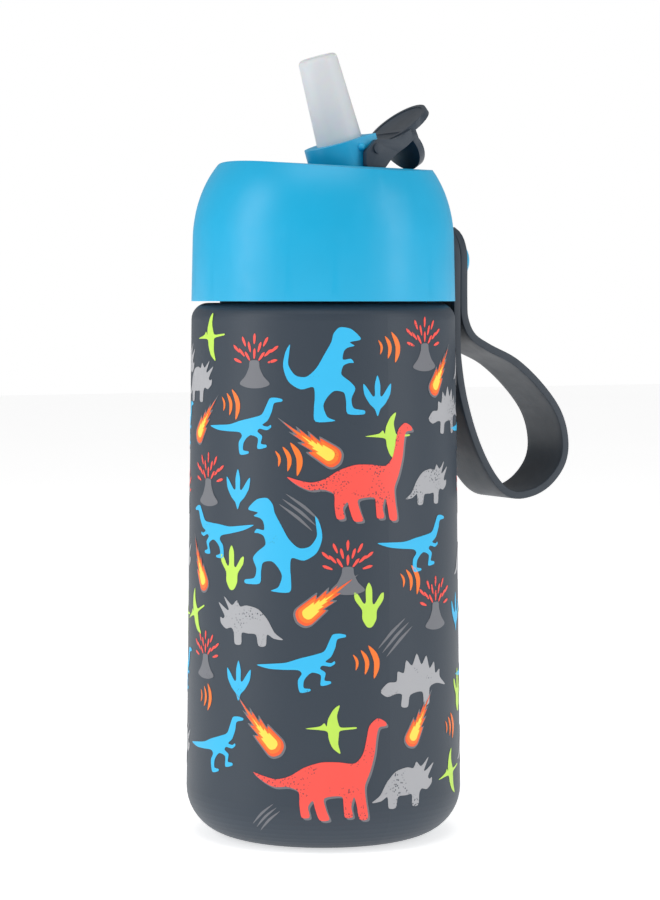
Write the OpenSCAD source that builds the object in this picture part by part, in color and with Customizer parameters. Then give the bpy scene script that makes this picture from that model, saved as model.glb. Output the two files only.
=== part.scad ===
// Insulated kids water bottle with a flip-up straw spout and a carry strap.
// Frame: +Z up, ground at Z = 0 under the centre of the base. The drinking side faces -Y,
// the strap hangs at +Y, and both flip hinges run along X.

/* [Body] */
// Largest diameter, just above the rounded base edge
body_d = 70; // [68:0.5:72]
// Diameter at the top of the straight side
shoulder_d = 66.8; // [66:0.2:68]
// Height of the shoulder above the ground
shoulder_z = 134.7; // [128:0.1:140]
// Radius of the rounded base edge
base_r = 12; // [9:0.5:13]
// Radius of the rounded shoulder edge
shoulder_r = 4.2; // [3:0.1:5]
// Thickness of the outer steel wall
shell_wall = 0.8; // [0.6:0.1:1]
// Thickness of the inner steel wall
flask_wall = 0.7; // [0.6:0.1:1]
// Width of the vacuum gap between the two walls
vacuum_gap = 2; // [1.5:0.1:2.4]

/* [Neck and thread] */
// Outer radius of the threaded neck
neck_r = 26.2; // [26:0.1:26.4]
// Height of the neck above the shoulder
neck_h = 14.3; // [14:0.1:14.6]
// Rise of the thread in one turn
pitch = 5; // [4.6:0.1:5.4]
// Turns of thread on the neck and in the lid
thread_turns = 1.25; // [1:0.05:1.4]

/* [Lid] */
// Outer radius of the lid at its lower edge
lid_r = 33.4; // [33.2:0.1:33.8]
// Height of the lid's top above its lower edge, on the axis
lid_h = 34.1; // [33.8:0.1:34.6]
// Seam left open between the lid and the shoulder
seam = 0.4; // [0.3:0.1:0.6]
// Wall thickness of the lid shell
lid_wall = 2; // [1.6:0.1:2.2]
// Slope of the lid's top, falling towards the strap, in degrees
top_slope = 1.36; // [0:0.1:2]
// Radius of the crown that rounds the lid's top from side to side
top_crown_r = 200; // [180:10:400]
// Half the width of the well that the spout folds into
well_half_w = 11.3; // [11.2:0.1:11.6]
// Front end of the well
well_front = 25.2; // [25:0.1:25.4]
// Back end of the well
well_back = 19; // [18.5:0.1:20]

/* [Spout] */
// Distance of the spout's pivot behind the bottle's axis
pivot_y = 9.5; // [9.3:0.1:9.7]
// Height of the spout's pivot
pivot_z = 164.5; // [164.3:0.1:164.7]
// Forward lean of the open spout, in degrees
spout_lean = 17; // [16:0.5:18]
// Half the width of the spout carrier
carrier_half_w = 8; // [7.8:0.1:8]
// Height of the carrier's top above the pivot, along the spout
carrier_top = 12; // [11.6:0.1:12.2]
// Radius of the mouthpiece where it leaves the carrier
mouth_base_r = 5.85; // [5.6:0.05:5.9]
// Radius of the mouthpiece at its tip
mouth_tip_r = 5; // [4.8:0.1:5.2]
// Height of the mouthpiece's tip above the pivot, along the spout
mouth_top = 34; // [32:0.5:34]

/* [Cover] */
// Half the width of the cover's two lobes
lobe_half_w = 9.5; // [9:0.1:9.8]
// Half the length of the cover's upper lobe
lobe_half_l = 8.2; // [7.6:0.1:8.4]
// Thickness of the upper lobe
lobe_t = 1.6; // [1.4:0.1:2]
// Upward tilt of the upper lobe when open, in degrees
lobe_tilt = 39; // [37:0.5:41]
// Thickness of the thumb tab
tab_t = 1.8; // [1.6:0.1:2]

/* [Strap] */
// Width of the strap
strap_w = 17.4; // [16:0.2:18]
// Thickness of the strap
strap_t = 1.9; // [1.6:0.1:2]
// Height of the button that holds the strap
button_z = 145.5; // [145:0.1:146]
// Diameter of the button's head
button_d = 12.6; // [12:0.2:13]

/* [Straw] */
// Outer diameter of the straw
straw_d = 7; // [6.6:0.1:7]
// Gap between the straw and the inside of the flask
straw_gap = 4; // [3:0.5:8]

/* [Hidden] */
$fn = 96;
eps = 0.02;

body_r = body_d / 2;
shoulder_edge_r = shoulder_d / 2;
flask_r = body_r - shell_wall - vacuum_gap;
flask_top_r = shoulder_edge_r - shell_wall - vacuum_gap;
flask_z = 5;
flask_corner = 9;
flask_shoulder_z = shoulder_z - 3;
neck_top = shoulder_z + neck_h;
neck_wall = 0.8;
lid_z = shoulder_z + seam;
lid_top = lid_z + lid_h;
recess_r = 21.5;
plate_r = 20;
plug_hole_r = 3;
getter_r = 4;
getter_t = 1.4;
getter_x = 9;
plate_z = 1.6;
plate_t = 0.8;

// Threads: the two ridges share one helix and stay half a pitch apart
ridge_root = 2;
ridge_tip = 1.2;
ridge_h = 1.3;
ridge_bite = 0.4;
thread_z = shoulder_z + 3.6;
skirt_bore = neck_r + 1.8;
skirt_r = 30.6;
thread_steps = 48;

// Lid shell: a drafted side up to dome_z, then an elliptical shoulder
dome_z = lid_z + 14.9;
dome_r = lid_r - 0.35;
dome_a = 19.2;
dome_b = 26;
deck_t = 1.6;
gasket_t = 1.4;
gasket_in = 2.2;
gasket_out = 1.2;
deck_z = neck_top + gasket_t;
well_floor = deck_z + deck_t;
well_wall = 1.6;
well_corner = 5;

// Spout, drawn upright around its pivot and leaned afterwards
barrel_r = 5.4;
mouth_y = -1.45;
front_y = -2.8;
back_y = 4.9;
duct_r = 2.2;
duct_y = 0.2;
pin_r = 1.5;
run_fit = 0.05;
pin_depth = 3.4;
pin_boss_r = 1.9;
pin_end = well_half_w + well_wall - 0.6;
plug_r = 4.6;
plug_z = 5.5;
bore_r = 2.9;
barb_wall = 0.8;
barb_h = 8;
nub_z = 9.7;
nub_r = 1.05;

// Cover hinge, given around the spout's pivot like the carrier
hinge_y = 3.27;
hinge_z = 8.3;
trunnion_r = 1.5;
ear_in = carrier_half_w + 0.35;
ear_out = 10.1;
ear_boss_r = 1.3;
ear_boss_h = 0.6;
hinge_bite = 1.3;
web_half_w = lobe_half_w - 0.8;
cover_y = pivot_y + hinge_y * cos(spout_lean) - hinge_z * sin(spout_lean);
cover_z = pivot_z + hinge_y * sin(spout_lean) + hinge_z * cos(spout_lean);
lobe_y = cover_y + 11.2;
lobe_z = cover_z + 7;
tab_y = lobe_y + 0.4;
tab_z = lobe_z - 3.4;
tab_arc_r = 31;
tab_drop = 56.5;
tab_arc_y = 5.3;
tab_l = 8.2;

// Strap and its button
strap_clear = 0.4;
strap_in = lid_r + strap_clear;
strap_out = strap_in + 2 * strap_t + 0.1;
button_h = 4.2;
button_gap = 0.1;
shaft_r = 3;
clip_r = 4.6;
clip_t = 1.1;
clip_y = lid_r - 4;

seal_y = pivot_y + 2.1;
seal_r = 3.2;
seal_bore = 2;
seal_neck_r = 3.8;
seal_skirt_r = 4.5;
seal_skirt_h = 6;
straw_r = straw_d / 2;
straw_wall = 0.8;
straw_y = seal_y;
straw_top = deck_z - 0.4;
vent_x = 17;
vent_y = 8;
vent_neck_r = 2;
vent_lip_r = 3;
vent_lip_t = 0.8;
vent_bill_r = 1.7;
vent_bill_h = 4;
vent_bore_r = 1;

// Points of an arc about [cy, cz]
function arc(cy, cz, r, a0, a1, n = 12) =
    [for (i = [0:n]) let (a = a0 + (a1 - a0) * i / n) [cy + r * cos(a), cz + r * sin(a)]];

// Closed outline with each corner p[i] rounded to radius r[i]
function unit(v) = v / norm(v);
function rounded(p, r) = [for (i = [0:len(p) - 1]) let (
        a = unit(p[(i + len(p) - 1) % len(p)] - p[i]),
        b = unit(p[(i + 1) % len(p)] - p[i]),
        half = acos(a * b) / 2,
        reach = r[i] / tan(half),
        c = p[i] + unit(a + b) * r[i] / sin(half),
        s = p[i] + a * reach - c,
        e = p[i] + b * reach - c,
        turn = s[0] * e[1] - s[1] * e[0] > 0 ? 180 - 2 * half : 2 * half - 180,
        from = atan2(s[1], s[0]))
    each (r[i] == 0 ? [p[i]] : arc(c[0], c[1], r[i], from, from + turn, 5))];

// A side outline in Y and Z, extruded along X from x0 to x1
module along_x(x0, x1) {
    translate([x0, 0, 0]) rotate([90, 0, 90]) linear_extrude(x1 - x0) children();
}

module both_sides() {
    children();
    mirror([1, 0, 0]) children();
}

module rod_x(r, x0, x1, y, z) {
    translate([x0, y, z]) rotate([0, 90, 0]) cylinder(r = r, h = x1 - x0);
}

module rod_y(r, y0, y1, z) {
    translate([0, y0, z]) rotate([-90, 0, 0]) cylinder(r = r, h = y1 - y0);
}

module ring(r_in, r_out, z0, z1) {
    translate([0, 0, z0]) difference() {
        cylinder(r = r_out, h = z1 - z0);
        translate([0, 0, -1]) cylinder(r = r_in, h = z1 - z0 + 2);
    }
}

// One helical ridge, rising z0 to z0 + turns * pitch; side is 1 outwards, -1 inwards
module ridge(r, side, z0, turns) {
    steps = ceil(thread_steps * turns);
    run = 5;
    rings = [for (i = [0:steps]) let (
            grow = min(1, (i + 0.4) / run, (steps - i + 0.4) / run),
            a = 360 * turns * i / steps,
            z = z0 + pitch * turns * i / steps,
            r0 = r - side * ridge_bite,
            r1 = r + side * ridge_h * grow)
        [for (q = [[r0, -ridge_root / 2], [r1, -ridge_tip / 2], [r1, ridge_tip / 2], [r0, ridge_root / 2]])
            [q[0] * cos(a), q[0] * sin(a), z + q[1] * (q[0] == r0 ? 1 : grow)]]];
    points = [for (ring = rings, q = ring) q];
    side_faces = [for (i = [0:steps - 1], j = [0:3]) let (k = (j + 1) % 4)
        each [[4 * i + j, 4 * i + k, 4 * i + 4 + k], [4 * i + j, 4 * i + 4 + k, 4 * i + 4 + j]]];
    last = 4 * steps;
    ends = [[3, 2, 1, 0], [last, last + 1, last + 2, last + 3]];
    faces = concat(side_faces, ends);
    polyhedron(points, side > 0 ? faces : [for (f = faces) [for (i = [len(f) - 1:-1:0]) f[i]]]);
}

// ---- Bottle ----

function side_r(z) = body_r - (body_r - shoulder_edge_r) * (z - base_r) / (shoulder_z - shoulder_r - base_r);

module outer_shell() {
    t = shell_wall;
    outer = concat(
        arc(body_r - base_r, base_r, base_r, -90, 0),
        arc(shoulder_edge_r - shoulder_r, shoulder_z - shoulder_r, shoulder_r, 0, 90, 8));
    inner = concat(
        arc(shoulder_edge_r - shoulder_r, shoulder_z - shoulder_r, shoulder_r - t, 90, 0, 8),
        arc(body_r - base_r, base_r, base_r - t, 0, -90));
    color("#3f4953") {
        rotate_extrude() polygon(concat(
            [[plate_r, plate_z], [recess_r, 0]], outer,
            [[neck_r, shoulder_z], [neck_r, neck_top], [neck_r - neck_wall, neck_top],
             [neck_r - neck_wall, shoulder_z - t]], inner,
            [[recess_r, t], [plate_r, plate_z + t]]));
        ridge(neck_r, 1, thread_z, thread_turns);
    }
}

module inner_flask() {
    t = flask_wall;
    neck_in = neck_r - neck_wall - t;
    corner = 6;
    outer = concat(
        [[0, flask_z]],
        arc(flask_r - flask_corner, flask_z + flask_corner, flask_corner, -90, 0),
        arc(flask_top_r - corner, flask_shoulder_z - corner, corner, 0, 90, 8),
        [[neck_in + t, flask_shoulder_z], [neck_in + t, neck_top], [neck_in, neck_top],
         [neck_in, flask_shoulder_z - t]]);
    inner = concat(
        arc(flask_top_r - corner, flask_shoulder_z - corner, corner - t, 90, 0, 8),
        arc(flask_r - flask_corner, flask_z + flask_corner, flask_corner - t, 0, -90),
        [[0, flask_z + t]]);
    color("#b9bdc0") rotate_extrude() polygon(concat(outer, inner));
}

module base_plate() {
    color("#b9bdc0") difference() {
        translate([0, 0, plate_z]) cylinder(r = plate_r, h = plate_t);
        translate([0, 0, plate_z - 1]) cylinder(r = plug_hole_r, h = plate_t + 2);
    }
}

module vacuum_plug() {
    color("#8d9296") translate([0, 0, plate_z + 0.2]) cylinder(r = plug_hole_r, h = plate_t - 0.2);
}

module getter() {
    color("#6f7478") translate([getter_x, 0, plate_z + plate_t])
        cylinder(r = getter_r, h = getter_t);
}

// ---- Lid ----

// Side profile of the lid, drawn in by inset
function lid_outline(inset) = concat(
    [[0, lid_z], [lid_r - inset, lid_z]],
    [for (i = [0:16]) let (a = i * 3.4) [dome_r - dome_a + (dome_a - inset) * cos(a),
        dome_z + (dome_b - inset) * sin(a)]],
    [[0, dome_z + (dome_b - inset) * sin(54.4)]]);

// The lid's solid form: the revolved side under a crowned top that slopes to the back
module lid_form(inset) {
    intersection() {
        rotate_extrude() polygon(lid_outline(inset));
        translate([0, 0, lid_top - inset]) rotate([-90 - top_slope, 0, 0])
            translate([0, top_crown_r, -60]) cylinder(r = top_crown_r, h = 120, $fn = 360);
    }
}

module well_outline(grow) {
    w = well_half_w + grow;
    c = well_corner + grow;
    translate([0, well_half_w - well_front]) circle(w);
    translate([-w, well_half_w - well_front])
        square([2 * w, well_front + well_back - well_half_w - well_corner]);
    translate([0, well_back - well_corner]) {
        for (x = [-1, 1]) translate([x * (well_half_w - well_corner), 0]) circle(c);
        translate([well_corner - well_half_w, -1]) square([2 * (well_half_w - well_corner), c + 1]);
    }
}

module lid_gasket() {
    color("#e9ecee") ring(neck_r - gasket_in, neck_r + gasket_out, neck_top, deck_z);
}

module lid_shell() {
    color("#2eb6e6") difference() {
        lid_form(0);
        translate([0, 0, -eps]) lid_form(lid_wall);
        translate([0, 0, lid_z]) linear_extrude(lid_h + 5) well_outline(0);
        rod_y(shaft_r, lid_r - 6, lid_r + 2, button_z);
    }
}

module lid_core() {
    color("#2aa9d8") difference() {
        union() {
            ring(skirt_bore, skirt_r, lid_z + 1.5, deck_z + eps);
            ridge(skirt_bore, -1, thread_z + pitch / 2, thread_turns);
            translate([0, 0, deck_z]) cylinder(r = skirt_r, h = deck_t);
            intersection() {
                lid_form(lid_wall + 0.1);
                translate([0, 0, well_floor - eps]) linear_extrude(lid_h) difference() {
                    well_outline(well_wall);
                    well_outline(0);
                }
            }
            both_sides() rod_x(pin_boss_r, ear_in, well_half_w + 1, pivot_y, pivot_z);
        }
        both_sides() rod_x(pin_r, ear_in - 1, pin_end, pivot_y, pivot_z);
        translate([0, seal_y, deck_z - 1]) cylinder(r = seal_neck_r, h = deck_t + 2);
        translate([vent_x, vent_y, deck_z - 1]) cylinder(r = vent_neck_r, h = deck_t + 2);
        rod_y(clip_r + 0.2, clip_y - 0.3, lid_r, button_z);
    }
}

module spout_seal() {
    color("#eef1f3") difference() {
        union() {
            translate([0, seal_y, deck_z - seal_skirt_h]) cylinder(r = seal_skirt_r, h = seal_skirt_h);
            translate([0, seal_y, deck_z]) cylinder(r = seal_neck_r, h = deck_t);
            translate([0, seal_y, well_floor]) cylinder(r = seal_r, h = pivot_z - well_floor);
        }
        rod_x(barrel_r + 0.3, -20, 20, pivot_y, pivot_z);
        translate([0, seal_y, deck_z]) cylinder(r = seal_bore, h = 20);
        translate([0, seal_y, deck_z - seal_skirt_h - 1])
            cylinder(r = straw_r, h = seal_skirt_h + 1 + deck_t / 2);
    }
}

module spout_pins() {
    color("#b9bdc0") both_sides()
        rod_x(pin_r, carrier_half_w - pin_depth + 0.2, pin_end, pivot_y, pivot_z);
}

module vent_valve() {
    color("#eef1f3") translate([vent_x, vent_y, 0]) difference() {
        union() {
            translate([0, 0, deck_z - vent_lip_t]) cylinder(r = vent_lip_r, h = vent_lip_t);
            translate([0, 0, deck_z]) cylinder(r = vent_neck_r, h = deck_t);
            translate([0, 0, well_floor]) cylinder(r = vent_lip_r, h = vent_lip_t);
            translate([0, 0, deck_z - vent_bill_h]) cylinder(r = vent_bill_r, h = vent_bill_h);
        }
        translate([0, 0, deck_z - vent_bill_h + 1]) cylinder(r = vent_bore_r, h = 2 * vent_bill_h);
    }
}

module straw() {
    bottom = flask_z + flask_wall + straw_gap;
    color("#dfe4e8") translate([0, straw_y, 0]) ring(straw_r - straw_wall, straw_r, bottom, straw_top);
}

module strap_button() {
    head = button_d / 2;
    head_y = strap_out + button_gap;
    dome = (head * head + button_h * button_h) / (2 * button_h);
    color("#2eb6e6") {
        rod_y(shaft_r, clip_y - 0.2, head_y + 0.1, button_z);
        intersection() {
            translate([0, head_y + button_h - dome, button_z]) sphere(r = dome);
            rod_y(head, head_y, head_y + button_h + 1, button_z);
        }
    }
}

module button_clip() {
    color("#d5d8da") difference() {
        rod_y(clip_r, clip_y, clip_y + clip_t, button_z);
        rod_y(shaft_r, clip_y - 1, clip_y + clip_t + 1, button_z);
    }
}

// ---- Spout ----

// Places a part drawn around the upright pivot into the leaning spout
module leaned() {
    translate([0, pivot_y, pivot_z]) rotate([spout_lean, 0, 0]) children();
}

module carrier_outline() {
    r = carrier_half_w;
    translate([0, front_y]) circle(r);
    translate([-r, front_y]) square([2 * r, back_y - front_y]);
}

module spout_carrier() {
    front = front_y - carrier_half_w - 1;
    belly = [[front, 8], [front, carrier_top], [back_y + 1, carrier_top], [back_y + 1, -1],
             [0, -2], [-4.8, 2.4]];
    color("#1f9fd6") leaned() difference() {
        union() {
            intersection() {
                translate([0, 0, -5]) linear_extrude(carrier_top + 5) carrier_outline();
                along_x(-carrier_half_w, carrier_half_w) polygon(belly);
            }
            rod_x(barrel_r, -carrier_half_w, carrier_half_w, 0, 0);
            both_sides() translate([carrier_half_w - 0.1, 0, nub_z]) sphere(r = nub_r);
            both_sides() rod_x(trunnion_r, carrier_half_w - 1, ear_in + hinge_bite, hinge_y, hinge_z);
        }
        translate([0, duct_y, -barrel_r - 1]) cylinder(r = duct_r, h = barrel_r + plug_z + 2);
        translate([0, mouth_y, plug_z]) cylinder(r = plug_r, h = carrier_top);
        both_sides() rod_x(pin_r + run_fit, carrier_half_w - pin_depth, carrier_half_w + 1, 0, 0);
    }
}

module mouthpiece() {
    rim = 1.2;
    lip = 0.7;
    color("#e8ecef") leaned() translate([0, mouth_y, 0]) rotate_extrude() polygon(concat(
        [[bore_r, plug_z], [plug_r, plug_z], [plug_r, carrier_top], [mouth_base_r, carrier_top]],
        arc(mouth_tip_r - rim, mouth_top - rim, rim, 3, 90, 6),
        arc(bore_r + lip, mouth_top - lip, lip, 90, 180, 4)));
}

module mouthpiece_barb() {
    color("#c9ced2") leaned() translate([0, mouth_y, 0])
        ring(bore_r - barb_wall, bore_r, plug_z, plug_z + barb_h);
}

// ---- Cover ----

// Places a flat plate, drawn in X and along its length, at y, z with its length tilted up
module tilted(y, z, tilt) {
    translate([0, y, z]) rotate([tilt, 0, 0]) children();
}

module lobe_outline(w, l) {
    polygon([for (a = [0:5:355]) [w * cos(a), l * sin(a)]]);
}

module upper_lobe() {
    rim = 0.5;
    tilted(lobe_y, lobe_z, lobe_tilt) difference() {
        translate([0, 0, -lobe_t]) linear_extrude(lobe_t) lobe_outline(lobe_half_w, lobe_half_l);
        translate([0, 0, -rim / 2]) linear_extrude(1)
            lobe_outline(lobe_half_w - 2 * rim, lobe_half_l - 2 * rim);
    }
}

// The thumb tab: a slice of a wide tube, cut to a rounded lobe
module thumb_tab() {
    drop = -tab_drop;
    root = 1.4;
    intersection() {
        tilted(tab_y, tab_z, drop) difference() {
            rod_x(tab_arc_r, -lobe_half_w, lobe_half_w, tab_arc_y, 0.5 - tab_arc_r);
            rod_x(tab_arc_r - tab_t, -20, 20, tab_arc_y, 0.5 - tab_arc_r);
        }
        tilted(tab_y, tab_z, drop) translate([0, 0, -8]) linear_extrude(12) intersection() {
            translate([0, 0.6]) lobe_outline(lobe_half_w, tab_l);
            translate([-20, -root]) square(40);
        }
    }
}

// The cover's side plate, from its lower ends up to the root of the lobes
function ear_points() = let (y = cover_y, z = cover_z) rounded(
    [[y - 3.3, z - 5], [y - 3.3, z - 0.8], [y - 0.4, z + 2.3], [y + 4.8, z + 2.5], [y + 7.3, z + 3.4],
     [y + 9.6, z + 4.2], [y + 10.2, z + 2.4], [y + 8.3, z + 1], [y + 4.2, z - 2.2], [y + 2, z - 5]],
    [1.4, 1.2, 0.8, 0, 0, 0.6, 0.6, 1, 2, 1.4]);

module spout_cover() {
    bridge = [[lobe_y - 6, lobe_z - 6 * tan(lobe_tilt)], [lobe_y - 1.6, lobe_z - 1.9],
              [lobe_y - 1, lobe_z - 4.6], [lobe_y - 2.8, lobe_z - 6.2], [lobe_y - 5.2, lobe_z - 7.8]];
    web = [[lobe_y - 3, lobe_z - 3 * tan(lobe_tilt)], [lobe_y, lobe_z - 0.6],
           [lobe_y + 1.3, lobe_z - 3.6], [lobe_y - 2.8, lobe_z - 6.2]];
    color("#424b55") difference() {
        union() {
            both_sides() along_x(ear_in, ear_out) polygon(ear_points());
            along_x(-ear_out, ear_out) polygon(bridge);
            along_x(-web_half_w, web_half_w) polygon(web);
            upper_lobe();
            thumb_tab();
            both_sides() rod_x(ear_boss_r, ear_out - 0.2, ear_out + ear_boss_h, cover_y, cover_z);
        }
        both_sides() rod_x(trunnion_r + run_fit, ear_in - 1, ear_in + hinge_bite + run_fit, cover_y, cover_z);
    }
}

// ---- Strap ----

// Outer and inner edges of the hanging loop, in Y and Z
module strap_loop() {
    y = strap_in;
    outer = rounded([[y, button_z + 12], [y, 118], [y + 7, 97], [y + 16.5, 82.2], [y + 34, 86.5],
        [y + 36, 103], [y + 19, 120], [strap_out, 127.5], [strap_out, button_z + 12]],
        [0, 30, 60, 9, 10, 18, 40, 11, 0]);
    inner = rounded([[strap_out - strap_t, 123.5], [y + 8.9, 97], [y + 17.2, 84.4], [y + 32.2, 88.2],
        [y + 33.6, 102.4], [y + 18, 118.2]],
        [0.6, 50, 7.2, 8.2, 16, 38]);
    difference() {
        polygon(outer);
        polygon(inner);
    }
}

module strap() {
    color("#3d4650") difference() {
        intersection() {
            along_x(-strap_w / 2, strap_w / 2) strap_loop();
            union() {
                rod_y(strap_w / 2, strap_in - 1, strap_out + 1, button_z);
                translate([-strap_w, strap_in - 1, 0]) cube([2 * strap_w, 60, button_z]);
            }
        }
        rod_y(shaft_r + run_fit, strap_in - 1, strap_out + 1, button_z);
    }
}

outer_shell();
inner_flask();
base_plate();
vacuum_plug();
getter();
lid_gasket();
lid_shell();
lid_core();
spout_seal();
spout_pins();
vent_valve();
straw();
strap_button();
button_clip();
spout_carrier();
mouthpiece();
mouthpiece_barb();
spout_cover();
strap();
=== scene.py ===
import bpy
from math import cos, radians, sin, sqrt
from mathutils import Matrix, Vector


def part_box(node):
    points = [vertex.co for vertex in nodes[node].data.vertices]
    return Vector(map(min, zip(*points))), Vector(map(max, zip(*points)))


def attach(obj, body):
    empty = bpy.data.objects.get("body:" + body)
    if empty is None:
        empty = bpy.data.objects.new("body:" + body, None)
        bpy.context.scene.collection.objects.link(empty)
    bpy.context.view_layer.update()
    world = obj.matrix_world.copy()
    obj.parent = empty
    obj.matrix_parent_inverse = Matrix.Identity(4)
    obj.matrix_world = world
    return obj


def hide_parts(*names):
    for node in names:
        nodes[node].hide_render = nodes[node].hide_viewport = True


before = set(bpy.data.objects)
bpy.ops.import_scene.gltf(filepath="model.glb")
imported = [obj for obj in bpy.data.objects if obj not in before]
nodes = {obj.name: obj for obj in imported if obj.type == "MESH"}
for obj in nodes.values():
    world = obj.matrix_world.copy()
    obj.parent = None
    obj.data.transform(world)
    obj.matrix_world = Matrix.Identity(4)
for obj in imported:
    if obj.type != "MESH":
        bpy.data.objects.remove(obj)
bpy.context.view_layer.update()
mm = 0.001
print("frame loaded")

# camera: round the bottle from the drinking side towards +X
lens = {"turn": 62, "away": 700 * mm, "height": 135.8 * mm, "down": 3.147, "aside": 0.139, "long": 110.3}


# shader helpers

def plug(tree, slot, value):
    # a link or a plain value into a socket
    if isinstance(value, Wire):
        tree.links.new(value.socket, slot)
    else:
        slot.default_value = value


class Wire:
    # a socket that adds Math nodes when it is used in an expression
    def __init__(self, tree, socket):
        self.tree, self.socket = tree, socket

    def math(self, operation, *values):
        made = self.tree.nodes.new("ShaderNodeMath")
        made.operation = operation
        for slot, value in zip(made.inputs, values):
            plug(self.tree, slot, value)
        return Wire(self.tree, made.outputs[0])

    def __add__(self, other):
        return self.math("ADD", self, other)

    def __radd__(self, other):
        return self.math("ADD", other, self)

    def __sub__(self, other):
        return self.math("SUBTRACT", self, other)

    def __rsub__(self, other):
        return self.math("SUBTRACT", other, self)

    def __mul__(self, other):
        return self.math("MULTIPLY", self, other)

    def __rmul__(self, other):
        return self.math("MULTIPLY", other, self)

    def __gt__(self, other):
        return self.math("GREATER_THAN", self, other)

    def __lt__(self, other):
        return self.math("LESS_THAN", self, other)


class Finish:
    # one material and its nodes
    def __init__(self, name, **constants):
        self.material = bpy.data.materials.new(name)
        self.material.use_nodes = True
        self.tree = self.material.node_tree
        self.shader = self.tree.nodes["Principled BSDF"]
        self.set(**constants)
        self.place = self.node("ShaderNodeTexCoord", out="Object")

    def set(self, **constants):
        for name, value in constants.items():
            self.shader.inputs[name.replace("_", " ")].default_value = value

    def node(self, kind, settings=None, out=0, **values):
        made = self.tree.nodes.new(kind)
        for key, value in (settings or {}).items():
            if key == "stops":
                ramp = made.color_ramp.elements
                while len(ramp) < len(value):
                    ramp.new(1)
                for stop, (spot, color) in zip(ramp, value):
                    stop.position, stop.color = spot, color
            else:
                setattr(made, key, value)
        for key, value in values.items():
            plug(self.tree, made.inputs[key.replace("_", " ")], value)
        return Wire(self.tree, made.outputs[out])

    def noise(self, scale, detail=3, rough=0.5, place=None):
        return self.node("ShaderNodeTexNoise", Vector=place or self.place, Scale=scale,
                         Detail=detail, Roughness=rough)

    def stretched(self, x, y, z):
        return self.node("ShaderNodeMapping", Vector=self.place, Scale=(x, y, z))

    def mixed(self, factor, first, second):
        made = self.tree.nodes.new("ShaderNodeMix")
        made.data_type = "RGBA"
        for slot, value in ((0, factor), (6, first), (7, second)):  # the colour sockets of a Mix node
            plug(self.tree, made.inputs[slot], value)
        return Wire(self.tree, made.outputs[2])

    def ramp(self, factor, low, high):
        return self.node("ShaderNodeMapRange", Value=factor, From_Min=low, From_Max=high)

    def feed(self, **wires):
        for name, wire in wires.items():
            self.tree.links.new(wire.socket, self.shader.inputs[name.replace("_", " ")])

    def bump(self, height, distance, strength=0.5):
        self.feed(Normal=self.node("ShaderNodeBump", Height=height, Distance=distance, Strength=strength))


def tone(r, g, b):
    # a screen colour, 0 to 255, as the shader's linear colour
    linear = []
    for c in (r / 255, g / 255, b / 255):
        linear.append(c / 12.92 if c < 0.0405 else ((c + 0.055) / 1.055) ** 2.4)
    return tuple(linear) + (1,)


def darker(color, k):
    return tuple(c * k for c in color[:3]) + (1,)


coat = {"slate": tone(50, 60, 71), "grain": 2600, "rough": 0.46, "blue": tone(10, 168, 214),
        "clear": tone(232, 235, 238), "steel": tone(190, 192, 194)}


def moulded(name, color, rough, grain, depth, **constants):
    # moulded plastic or silicone: faint colour drift, fine texture, rubbed patches
    f = Finish(name, **constants)
    drift = f.noise(45)
    rubbed = f.ramp(f.noise(160, 5, 0.65), 0.42, 0.72)
    f.feed(Base_Color=f.mixed(drift, darker(color, 0.93), darker(color, 1.06)),
           Roughness=rough + 0.1 * (f.noise(300) - 0.5) + 0.06 * rubbed)
    f.bump(f.noise(grain, 2) + 0.25 * f.noise(grain * 0.2), depth)
    return f.material


def powderCoat():
    f = Finish("powder_coat", Specular_IOR_Level=0.35)
    speck = f.noise(coat["grain"], 2, 0.6)
    drift = f.noise(30)
    scuffs = f.ramp(f.noise(90, 8, 0.7, f.stretched(1, 1, 0.15)), 0.66, 0.74)
    base = f.mixed(drift, darker(coat["slate"], 0.95), darker(coat["slate"], 1.05))
    f.feed(Base_Color=f.mixed(speck * 0.25, base, darker(coat["slate"], 1.35)),
           Roughness=coat["rough"] + 0.12 * (speck - 0.5) + 0.08 * scuffs)
    f.bump(speck, 0.00006, 0.35)
    return f.material


def brushedSteel():
    f = Finish("bare_steel", Metallic=1.0)
    streak = f.noise(900, 4, 0.6, f.stretched(1, 1, 40))
    f.feed(Base_Color=f.mixed(streak, darker(coat["steel"], 0.8), coat["steel"]),
           Roughness=0.24 + 0.2 * streak)
    f.bump(streak, 0.00002, 0.4)
    return f.material


def milkySilicone(name, through):
    f = Finish(name, Transmission_Weight=through, Subsurface_Weight=0.35, Subsurface_Scale=0.004, IOR=1.41)
    cloud = f.noise(120, 4)
    f.feed(Base_Color=f.mixed(cloud, darker(coat["clear"], 0.96), coat["clear"]),
           Roughness=0.34 + 0.12 * cloud)
    f.bump(f.noise(1400, 2), 0.00003, 0.3)
    return f.material


powder = powderCoat()
steel = brushedSteel()
bluePlastic = moulded("blue_plastic", coat["blue"], 0.36, 3200, 0.00003, Specular_IOR_Level=0.45)
slatePlastic = moulded("slate_plastic", coat["slate"], 0.4, 3000, 0.00004, Specular_IOR_Level=0.4)
slateSilicone = moulded("slate_silicone", darker(coat["slate"], 0.8), 0.52, 2600, 0.00004)
strawPlastic = moulded("straw_plastic", coat["clear"], 0.35, 2400, 0.00002, Transmission_Weight=0.3)
mouthSilicone = milkySilicone("mouth_silicone", 0.25)
sealSilicone = milkySilicone("clear_silicone", 0.1)
resin = moulded("plug_resin", tone(150, 152, 154), 0.6, 900, 0.0001)
print("materials made")


# mesh helpers

def alone(piece):
    bpy.ops.object.select_all(action="DESELECT")
    piece.select_set(True)
    bpy.context.view_layer.objects.active = piece


def finishPiece(piece, name, material, body, angle=35):
    piece.name = piece.data.name = name
    alone(piece)
    bpy.ops.object.shade_smooth_by_angle(angle=radians(angle))
    piece.data.materials.clear()
    piece.data.materials.append(material)
    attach(piece, body)


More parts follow.
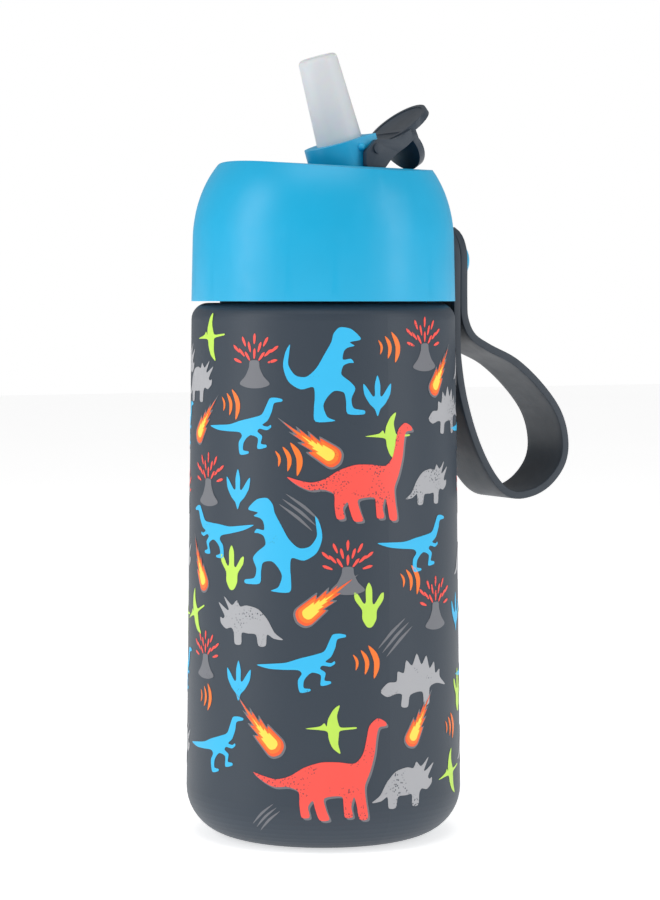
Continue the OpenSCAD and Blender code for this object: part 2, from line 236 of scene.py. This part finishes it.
def applyModifier(piece, kind, **settings):
    alone(piece)
    added = piece.modifiers.new(kind.lower(), kind)
    for key, value in settings.items():
        setattr(added, key, value)
    bpy.ops.object.modifier_apply(modifier=added.name)


moulding = {"merge": 0.004 * mm, "flat": 2, "corner": 38, "segments": 3}


def softCopy(node, name, width, material, body):
    # the CAD part again, its sharp edges rounded as a mould leaves them
    piece = nodes[node].copy()
    piece.data = nodes[node].data.copy()
    bpy.context.scene.collection.objects.link(piece)
    piece.parent = None
    for key in [k for k in piece.keys() if k.startswith("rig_")]:
        del piece[key]
    alone(piece)
    bpy.ops.object.mode_set(mode="EDIT")
    bpy.ops.mesh.select_all(action="SELECT")
    bpy.ops.mesh.remove_doubles(threshold=moulding["merge"])
    bpy.ops.mesh.dissolve_limited(angle_limit=radians(moulding["flat"]))
    bpy.ops.object.mode_set(mode="OBJECT")
    applyModifier(piece, "BEVEL", width=width, segments=moulding["segments"], limit_method="ANGLE",
                  angle_limit=radians(moulding["corner"]), use_clamp_overlap=True,
                  miter_outer="MITER_ARC")
    finishPiece(piece, name, material, body)
    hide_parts(node)


# CAD nodes that keep their own shape

finishes = {"outer_shell": powder, "inner_flask": steel, "base_plate": steel, "vacuum_plug": resin,
            "getter": resin, "lid_gasket": sealSilicone, "lid_shell": bluePlastic, "lid_core": bluePlastic,
            "spout_seal": sealSilicone, "spout_pins": steel, "vent_valve": sealSilicone,
            "straw": strawPlastic, "strap_button": bluePlastic, "button_clip": steel,
            "spout_carrier": bluePlastic, "mouthpiece": mouthSilicone, "mouthpiece_barb": strawPlastic,
            "spout_cover": slatePlastic}
for node, material in finishes.items():
    nodes[node].data.materials.clear()
    nodes[node].data.materials.append(material)
    alone(nodes[node])
    bpy.ops.object.shade_smooth_by_angle(angle=radians(32))
print("CAD nodes finished")


# strap: one silicone band whose two ends lie on each other under the button

strapLook = {"thick": 1.9 * mm, "width": 17.4 * mm, "edge": 0.45 * mm, "steps": 150, "across": 10,
             "hug": 0.35 * mm, "hugFrom": 24 * mm, "hugFull": 40 * mm, "endTip": 0.2, "gap": 0.12 * mm}
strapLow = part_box("strap")[0]
buttonLow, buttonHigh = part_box("strap_button")
buttonZ = (buttonLow.z + buttonHigh.z) / 2


def smoothPath(stops, count, perStop=24):
    # points evenly spaced along a curve through the stops
    ends = [2 * stops[0] - stops[1]] + stops + [2 * stops[-1] - stops[-2]]
    fine = []
    for i in range(len(stops) - 1):
        a, b, c, d = ends[i:i + 4]
        for k in range(perStop):
            t = k / perStop
            bend = 2 * a - 5 * b + 4 * c - d
            twist = 3 * b - a - 3 * c + d
            fine.append(0.5 * (2 * b + t * (c - a) + t * t * bend + t ** 3 * twist))
    fine.append(stops[-1])
    length = [0]
    for p, q in zip(fine, fine[1:]):
        length.append(length[-1] + (q - p).length)
    points, at = [], 0
    for i in range(count + 1):
        want = length[-1] * i / count
        while at < len(fine) - 2 and length[at + 1] < want:
            at += 1
        span = max(length[at + 1] - length[at], 1e-9)
        points.append(fine[at].lerp(fine[at + 1], (want - length[at]) / span))
    return points, length[-1]


def strapBand():
    s = strapLook
    y, t, half = strapLow.y, s["thick"], s["width"] / 2
    z0 = strapLow.z
    outer = t * 1.5 + s["gap"]
    button = buttonZ - z0
    # down behind the button, round the loop and up over the first end
    loop = [(3.1, 25), (7, 14), (12, 5.6), (17.2, 1.4), (23.5, 1.6), (29, 4.4), (33, 9.5), (33.7, 15.5),
            (31.5, 22.5), (26, 29.5), (18.5, 35.8), (10.5, 39.6), (5.6, 42.6), (3.35, 47)]
    spots = [(t / 2, button + half), (t / 2, button), (t / 2, 46 * mm), (t / 2 + 0.3 * mm, 36 * mm)]
    spots += [(a * mm, b * mm) for a, b in loop]
    spots += [(outer, 52 * mm), (outer, button), (outer, button + half)]
    stops = [Vector((0, y + a, z0 + b)) for a, b in spots]
    path, length = smoothPath(stops, s["steps"])
    bpy.ops.object.select_all(action="DESELECT")
    bpy.ops.mesh.primitive_grid_add(x_subdivisions=s["across"], y_subdivisions=s["steps"], size=2)
    band = bpy.context.object
    for v in band.data.vertices:
        along = (v.co.y + 1) / 2
        i = min(round(along * s["steps"]), s["steps"])
        fromEnd = min(along, 1 - along) * length
        reach = 1  # the ends are round
        if fromEnd < half:
            reach = max(s["endTip"], sqrt(max(0, 1 - ((half - fromEnd) / half) ** 2)))
        x = v.co.x * half * reach
        rise = (path[i].z - z0 - s["hugFrom"]) / (s["hugFull"] - s["hugFrom"])
        hug = s["hug"] * min(1, max(0, rise)) * (x / half) ** 2
        v.co = Vector((x, path[i].y - hug, path[i].z))
    applyModifier(band, "SOLIDIFY", thickness=t, offset=0)
    alone(band)
    bpy.ops.object.mode_set(mode="EDIT")
    bpy.ops.mesh.select_all(action="SELECT")
    bpy.ops.mesh.normals_make_consistent(inside=False)
    bpy.ops.object.mode_set(mode="OBJECT")
    applyModifier(band, "BEVEL", width=s["edge"], segments=3, limit_method="ANGLE", angle_limit=radians(50))
    finishPiece(band, "strap_band", slateSilicone, "strap", 40)
    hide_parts("strap")


strapBand()
print("strap made")

# lid, carrier and cover with the rounded edges of moulded parts
edges = {"cover": 0.35 * mm, "spout": 0.4 * mm, "lid": 0.5 * mm}
softCopy("spout_cover", "cover_moulding", edges["cover"], slatePlastic, "cover")
softCopy("spout_carrier", "carrier_moulding", edges["spout"], bluePlastic, "spout")
softCopy("lid_shell", "lid_moulding", edges["lid"], bluePlastic, "lid")
print("mouldings made")

# print: flat ink shapes laid on the coat, drawn in millimetres round their own centres

motifs = {
    "rex": [(8.6, 9.2), (8.9, 8.2), (6.2, 7.6), (7.4, 6.7), (5.6, 6.2), (4.6, 5.2), (4.4, 3.2),
            (6.4, 3.4), (7.2, 2.4), (6, 2.3), (4.5, 1.6), (4, -0.6), (6.2, -2.4), (7.6, -4.2),
            (6.6, -6.8), (7.2, -9.2), (10, -9.8), (9.8, -10.8), (5.6, -10.6), (5.2, -7.4), (4.6, -5.2),
            (2.2, -4.8), (0.4, -6.4), (-0.6, -8.6), (0.4, -11.4), (2.4, -12.4), (-2.6, -12.6),
            (-3, -9.4), (-2.8, -6.4), (-3.2, -3.8), (-6.4, -4.4), (-9.6, -2.4), (-11, 1.4), (-10.4, 5),
            (-9.2, 7), (-9.4, 4.8), (-9.6, 1.8), (-7.8, -0.8), (-5, -1.2), (-2.4, 1), (-0.4, 4.4),
            (1.4, 7.6), (2, 9.8), (3.6, 11.4), (6.4, 11)],
    "longneck": [(12.2, 14.6), (14.4, 13.6), (14.6, 12.6), (12.6, 12.2), (11.9, 9.6), (11.4, 5.6),
                 (10.2, 1.2), (8.8, -2.4), (9, -6), (9.6, -10.8), (7.4, -10.9), (6.6, -7.2),
                 (5.9, -5.2), (5.2, -7.6), (5.6, -10.2), (3.6, -10.3), (3.2, -7), (2.8, -5), (0, -4.9),
                 (-1.8, -5.6), (-1.2, -8.4), (-0.4, -10.9), (-2.8, -11), (-4, -8), (-4.6, -6),
                 (-5.8, -7.6), (-5.4, -10.2), (-7.4, -10.3), (-8, -7), (-8.2, -3.8), (-11, -2.6),
                 (-14.6, -2.8), (-18, -1.4), (-20.6, 0.6), (-17.6, -0.2), (-14, -0.8), (-10.4, 0.2),
                 (-6.8, 2.4), (-2.4, 3.8), (2, 3.8), (6, 3.4), (8.2, 5.6), (9.2, 9.4), (10, 12.8)],
    "threehorn": [(9.4, -0.6), (9.6, 1), (8.6, 0.7), (8, 1.6), (10.4, 5), (7, 3.2), (6.4, 3.6),
                  (8.2, 6.8), (5.2, 4.6), (3.4, 6), (2.2, 4.4), (0, 4.8), (-3.6, 4), (-6.4, 1.4),
                  (-8.6, -2.2), (-11, -4), (-8.4, -3.8), (-6.4, -2.8), (-6, -5.8), (-3.8, -5.9),
                  (-3, -3), (-0.4, -2.8), (1.6, -2.8), (1.8, -5.8), (4, -5.9), (4.4, -2.8), (5.4, -1.6),
                  (7.4, -2)],
    "plated": [(10.4, -2), (8.6, -3.4), (6, -2.8), (4.4, -3.2), (4.6, -6), (2.6, -6.2), (1.8, -3.4),
               (-2.2, -3), (-2.8, -6.2), (-4.8, -6), (-5, -2.2), (-8, -1.4), (-12, -2.2), (-9.4, 0),
               (-9.2, 2), (-7.4, 1.2), (-6.8, 4), (-5, 2.6), (-3.8, 5.8), (-2, 3.8), (-0.4, 6.6),
               (1.2, 3.8), (3, 5.2), (3.8, 2.2), (5.6, 2.6), (6, 0.2), (8.4, 0)],
    "runner": [(10.4, 5.8), (12, 5.1), (11.8, 4.5), (9.6, 4.4), (8.6, 2.4), (7, 0.2), (5.2, -0.8),
               (6.6, -1.5), (7.6, -1.2), (7.6, -1.9), (6.2, -2.4), (4.2, -1.7), (3.4, -2.4),
               (4.6, -3.8), (3.9, -5.7), (5.4, -6.3), (5.2, -7), (2.6, -6.9), (3.2, -4.2), (1.2, -3),
               (-0.4, -3.6), (-1.6, -4.8), (-2, -6.6), (-0.4, -7.2), (-0.6, -7.8), (-3.3, -7.6),
               (-3.2, -4.4), (-1.8, -2.8), (-2.6, -1.6), (-6.4, -0.8), (-10.6, 0.2), (-14, 1.8),
               (-10.4, 1.5), (-5.6, 1), (-1.6, 1.4), (2.4, 1.6), (5.4, 2), (7.2, 4.2), (8.6, 5.9)],
    "glider": [(-8.6, 0.5), (-3.8, 1.3), (-2.2, 2.4), (-1.4, 1.3), (-0.9, 3.8), (0.9, 7), (3, 8.4),
               (2.1, 5), (2.5, 2.4), (3.5, 0.9), (8.4, 0.9), (8.4, 0.3), (3.3, -0.2), (2.7, -2),
               (2.5, -4.8), (3.2, -8), (0.6, -6), (-0.7, -3), (-1.2, -0.5), (-3.8, 0.1)],
    "cone": [(-1.5, 1.8), (-1.8, 0), (-3, -2.4), (-4.8, -4.2), (-4.6, -5), (-2.4, -5.7), (0, -5.9),
             (2.4, -5.7), (4.6, -5), (4.8, -4.2), (3, -2.4), (1.8, 0), (1.5, 1.8), (0, 2.1)],
    "drop": [(0.15, 2), (0.52, 1), (0.42, -0.6), (0.1, -1.6), (-0.25, -1.5), (-0.42, -0.4),
             (-0.42, 1.1)],
    "flame": [(-2.6, -2.4), (-1.8, -3.7), (0, -4.3), (1.9, -3.6), (2.7, -2), (2.5, 0.8), (2.2, 3.2),
              (1.5, 2.8), (1.7, 6), (0.9, 5.4), (1, 8.8), (0.35, 8.2), (0.1, 13.4), (-0.5, 8.6),
              (-1, 9.4), (-1, 5.8), (-1.8, 6.4), (-1.6, 3), (-2.5, 3.6), (-2.6, 0.6)],
    "claw": [(0, 5.4), (0.75, 3), (0.75, 0.4), (1.4, 0.2), (3.1, 2.6), (3.9, 3.2), (3.6, 0.6),
             (2.2, -1.8), (0.8, -3.2), (0, -5), (-0.8, -3.2), (-2.2, -1.8), (-3.6, 0.6), (-3.9, 3.2),
             (-3.1, 2.6), (-1.4, 0.2), (-0.75, 0.4), (-0.75, 3)],
    "paw": [(-0.6, -5), (-1.8, -3), (-1.9, -0.8), (-3.6, 1.6), (-3.8, 3.4), (-2.9, 3), (-1.5, 0.8),
            (-0.9, 1.2), (-0.9, 4.2), (-0.1, 5.8), (0.7, 4.2), (0.8, 1), (1.4, 0.6), (2.9, 2.8),
            (3.8, 3.2), (3.6, 1.4), (2, -1), (1.8, -3.2), (0.7, -5)],
    "stripe": [(-0.4, -2.2), (0.5, -1.2), (0.8, 0), (0.5, 1.2), (-0.4, 2.2), (0, 0)],
    "scratch": [(-4.4, -4), (0.4, 0.3), (4.4, 4), (-0.3, 0.8)],
}
inks = {"blue": tone(52, 186, 236), "red": tone(250, 84, 74), "orange": tone(248, 122, 44),
        "lime": tone(190, 230, 88), "grey": tone(168, 169, 173), "yellow": tone(250, 222, 84),
        "shade": tone(112, 114, 120), "hot": tone(246, 94, 48)}
speckled = ("red", "grey")  # inks laid thin, with more dots
printLook = {"lift": 0.05 * mm, "layer": 0.035 * mm, "cut": 1.1 * mm, "curve": 4, "pull": 0.42,
             "lowest": 1.2 * mm, "repeats": (0, 180)}
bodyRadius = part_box("outer_shell")[1].x
bodyForm = {"corner": 12 * mm, "fall": 0.0134}  # base edge, and how the side draws in above it


def coatRadius(z):
    c = bodyForm["corner"]
    if z >= c:
        return bodyRadius - bodyForm["fall"] * (z - c)
    return bodyRadius - c + sqrt(max(c * c - (c - z) ** 2, 0))


def rounded(points):
    # the outline again, curved through its points
    count, out = len(points), []
    for i in range(count):
        a, b, c, d = (Vector(points[(i + k) % count]) for k in (-1, 0, 1, 2))
        for k in range(printLook["curve"]):
            t = k / printLook["curve"]
            u, v = (c - a) * printLook["pull"], (d - b) * printLook["pull"]
            out.append((2 * t ** 3 - 3 * t * t + 1) * b + (t ** 3 - 2 * t * t + t) * u
                       + (3 * t * t - 2 * t ** 3) * c + (t ** 3 - t * t) * v)
    return out


flatShapes = {}


def flatShape(kind):
    # the motif as a flat face, cut into strips narrow enough to wrap
    if kind not in flatShapes:
        mesh = bpy.data.meshes.new(kind)
        outline = [p.to_3d() * mm for p in rounded(motifs[kind])]
        mesh.from_pydata(outline, [], [list(range(len(outline)))])
        piece = bpy.data.objects.new(kind, mesh)
        bpy.context.scene.collection.objects.link(piece)
        alone(piece)
        bpy.ops.object.mode_set(mode="EDIT")
        bpy.ops.mesh.select_all(action="SELECT")
        bpy.ops.mesh.quads_convert_to_tris(ngon_method="BEAUTY")
        left, right = min(p.x for p in outline), max(p.x for p in outline)
        x = left + printLook["cut"]
        while x < right:
            bpy.ops.mesh.select_all(action="SELECT")
            bpy.ops.mesh.bisect(plane_co=(x, 0, 0), plane_no=(1, 0, 0))
            x += printLook["cut"]
        bpy.ops.object.mode_set(mode="OBJECT")
        faces = [list(p.vertices) for p in mesh.polygons]
        flatShapes[kind] = ([v.co.copy() for v in mesh.vertices], faces)
        bpy.data.objects.remove(piece)
    return flatShapes[kind]


laid = {name: ([], []) for name in inks}


def stamp(kind, ink, turn, height, size=1.0, lean=0, flip=False, layer=0, shift=(0, 0)):
    # one motif on the coat: turn in degrees from the camera's side, height and shift in millimetres
    points, faces = flatShape(kind)
    verts, polys = laid[ink]
    c, s = cos(radians(lean)), sin(radians(lean))
    for repeat in printLook["repeats"]:  # the print comes round again at the back
        first = len(verts)
        for p in points:
            x, y = p.x * size * (-1 if flip else 1), p.y * size
            x, y = x * c - y * s + shift[0] * mm, x * s + y * c + shift[1] * mm
            z = max(height * mm + y, printLook["lowest"])
            r = coatRadius(z)
            a = radians(lens["turn"] + turn + repeat) + x / r
            out = r + printLook["lift"] + printLook["layer"] * layer
            verts.append((out * sin(a), -out * cos(a), z))
        polys += [[first + i for i in (reversed(f) if flip else f)] for f in faces]


# rings of drops round a crater: how far out, and at which angles
plume = {"cone": 0.86, "drop": 0.72,
         "rings": ((3.3, (0, 36, -36)), (5.1, (16, -16, 46, -46, 72, -72)), (6.9, (0, 26, -26, 50, -50)))}
flames = (("shade", 1.15), ("hot", 1), ("orange", 0.82), ("yellow", 0.56))  # from the outside in
bars = {"apart": 2.1, "first": 0.8, "grow": 0.45}
scratch = {"apart": 1.7, "slant": 45}


def volcano(turn, height, size=1.0):
    stamp("cone", "shade", turn, height, size * plume["cone"])
    for far, leans in plume["rings"]:
        for lean in leans:
            out = far * size
            shift = (out * sin(radians(lean)), out * cos(radians(lean)))
            stamp("drop", "red", turn, height, size * plume["drop"], -lean, shift=shift)


def meteor(turn, height, size, lean):
    for layer, (ink, share) in enumerate(flames):
        stamp("flame", ink, turn, height, size * share, lean, layer=layer)


def shout(turn, height, size, lean):
    # three curved bars that widen, in place of lettering
    for i in range(3):
        stamp("stripe", "orange", turn, height, size * (bars["first"] + bars["grow"] * i), lean,
              shift=((i - 1) * bars["apart"] * size, 0))


def scratches(turn, height, size, lean=0):
    a = radians(scratch["slant"] + lean)
    for i in (-1, 0, 1):
        step = i * scratch["apart"] * size
        stamp("scratch", "shade", turn, height, size, lean, shift=(-step * sin(a), step * cos(a)))


def layPrint():
    for turn, height, size in ((17, 92, 0.92), (3, 19.5, 0.96)):
        stamp("longneck", "shade", turn, height, size, shift=(0.5, -0.5))
        stamp("longneck", "red", turn, height, size, layer=1)
    for turn, height, flip in ((1, 118, False), (-18, 76.5, True)):
        stamp("rex", "blue", turn, height, 0.95, flip=flip)
    for turn, height, size, flip in ((-68, 115, 0.8, False), (51, 90, 0.8, False),
                                     (-33, 56.5, 0.9, True), (36, 16.5, 0.9, False)):
        stamp("threehorn", "grey", turn, height, size, flip=flip)
    for turn, height, size in ((66, 108, 0.9), (41, 42, 1)):
        stamp("plated", "grey", turn, height, size, flip=True)
    for turn, height, flip, lean in ((-34, 105, False, 10), (-51, 79, True, 0), (44, 76, False, 6),
                                     (-7, 47.5, False, 12), (-50, 26, False, 14)):
        stamp("runner", "blue", turn, height, 0.9, lean, flip)
    for turn, height, lean in ((-57, 126, 5), (28, 102, 0), (-69, 57, 20), (3, 31, 0), (65, 17, 10)):
        stamp("glider", "lime", turn, height, 0.72, lean)
    for turn, height, size in ((-30, 119, 1), (48, 123, 1), (-57, 89.5, 1), (10, 69, 1), (54, 59, 1),
                               (-58, 46, 0.9)):
        volcano(turn, height, size)
    for turn, height, size, lean in ((56, 115, 0.8, -38), (-64, 103, 0.8, -42), (1, 98.5, 0.95, 55),
                                     (-61, 66.5, 0.8, 28), (-5, 60, 0.95, -52), (-22, 28, 0.95, 42),
                                     (40, 29, 0.8, -32)):
        meteor(turn, height, size, lean)
    for turn, height in ((23, 112), (-38, 89), (-37, 42), (75, 57)):
        stamp("claw", "blue", turn, height, 0.95)
    for turn, height in ((-41, 69.5), (19, 61), (77, 37)):
        stamp("paw", "lime", turn, height)
    for turn, height, size, lean in ((28, 124, 1, 8), (-43, 110, 1, 10), (-15, 97, 1.1, 12),
                                     (38, 67, 1, 14), (17, 47.5, 1.1, 10), (-58, 37, 0.9, 0),
                                     (65, 29, 0.9, 10)):
        shout(turn, height, size, lean)
    # the sides away from the camera
    for turn, height in ((92, 119), (89, 70), (91, 23)):
        stamp("threehorn", "grey", turn, height, 0.85)
    for turn, height in ((90, 104), (92, 42)):
        stamp("runner", "blue", turn, height, 0.8, 10)
    volcano(92, 86, 0.95)
    stamp("glider", "lime", 92, 56, 0.72)
    for turn, height, size, lean in ((-10, 84, 0.9, -80), (31, 53, 0.9, 0), (-24, 9, 0.7, 0)):
        scratches(turn, height, size, lean)


def inkMaterial(name, color):
    # screen ink, with dots of the coat showing through where it was laid thin
    f = Finish("ink_" + name, Specular_IOR_Level=0.4)
    dots = f.node("ShaderNodeTexVoronoi", Vector=f.place, Scale=1500.0)
    low, high = (0.5, 0.62) if name in speckled else (0.66, 0.8)
    thin = f.ramp(f.noise(140, 3), low, high)
    f.feed(Base_Color=f.mixed((dots < 0.32) * thin * 0.8, color, darker(coat["slate"], 0.9)),
           Roughness=0.42 + 0.1 * f.noise(700))
    f.bump(f.noise(coat["grain"], 2), 0.00005, 0.3)
    return f.material


layPrint()
for name, (verts, polys) in laid.items():
    mesh = bpy.data.meshes.new("print_" + name)
    mesh.from_pydata(verts, [], polys)
    piece = bpy.data.objects.new("print_" + name, mesh)
    bpy.context.scene.collection.objects.link(piece)
    finishPiece(piece, "print_" + name, inkMaterial(name, inks[name]), "bottle", 60)
print("print laid")


# stage: a light is a name, turn, rise, distance, size and power
studio = {"world": 0.36, "floor": 0.6, "aimHeight": 0.1,
          "lights": [("left_softbox", -5, 18, 0.9, (0.35, 0.9), 3.6),
                     ("right_softbox", 128, 15, 0.9, (0.3, 0.9), 2.6),
                     ("top_softbox", 62, 75, 0.9, (0.7, 0.5), 2.5)]}


def layFloor():
    bpy.ops.object.select_all(action="DESELECT")
    bpy.ops.mesh.primitive_plane_add(size=6)
    floor = bpy.context.object
    floor.name = "floor"
    f = Finish("pale_floor", Specular_IOR_Level=0.2, Emission_Color=(1, 1, 1, 1),
               Emission_Strength=studio["floor"])
    f.feed(Base_Color=f.mixed(f.noise(3), tone(250, 250, 250), tone(255, 255, 255)),
           Roughness=0.7 + 0.1 * f.noise(40))
    floor.data.materials.append(f.material)


def lightWorld():
    # soft light all round, and plain white where the camera looks past the floor
    world = bpy.data.worlds.new("studio")
    world.use_nodes = True
    tree = world.node_tree
    soft = tree.nodes["Background"]
    soft.inputs["Color"].default_value = (1, 1, 1, 1)
    soft.inputs["Strength"].default_value = studio["world"]
    white = tree.nodes.new("ShaderNodeBackground")
    white.inputs["Color"].default_value = (1, 1, 1, 1)
    path = tree.nodes.new("ShaderNodeLightPath")
    mix = tree.nodes.new("ShaderNodeMixShader")
    tree.links.new(path.outputs["Is Camera Ray"], mix.inputs[0])
    tree.links.new(soft.outputs[0], mix.inputs[1])
    tree.links.new(white.outputs[0], mix.inputs[2])
    tree.links.new(mix.outputs[0], tree.nodes["World Output"].inputs["Surface"])
    bpy.context.scene.world = world


def hangLights():
    for name, turn, rise, far, size, watts in studio["lights"]:
        bpy.ops.object.light_add(type="AREA")
        lamp = bpy.context.object
        lamp.name = name
        lamp.data.shape = "RECTANGLE"
        lamp.data.size, lamp.data.size_y = size
        lamp.data.energy = watts
        a, e = radians(turn), radians(rise)
        aim = Vector((sin(a) * cos(e), -cos(a) * cos(e), sin(e)))
        lamp.location = aim * far + Vector((0, 0, studio["aimHeight"]))
        lamp.rotation_euler = aim.to_track_quat("Z", "Y").to_euler()


def cameraSet():
    a = radians(lens["turn"])
    bpy.ops.object.camera_add(location=(sin(a) * lens["away"], -cos(a) * lens["away"], lens["height"]),
                              rotation=(radians(90 - lens["down"]), 0, a - radians(lens["aside"])))
    bpy.context.object.data.lens = lens["long"]
    bpy.context.scene.camera = bpy.context.object
    bpy.context.scene.view_settings.view_transform = "Standard"


layFloor()
lightWorld()
hangLights()
cameraSet()
print("stage set")
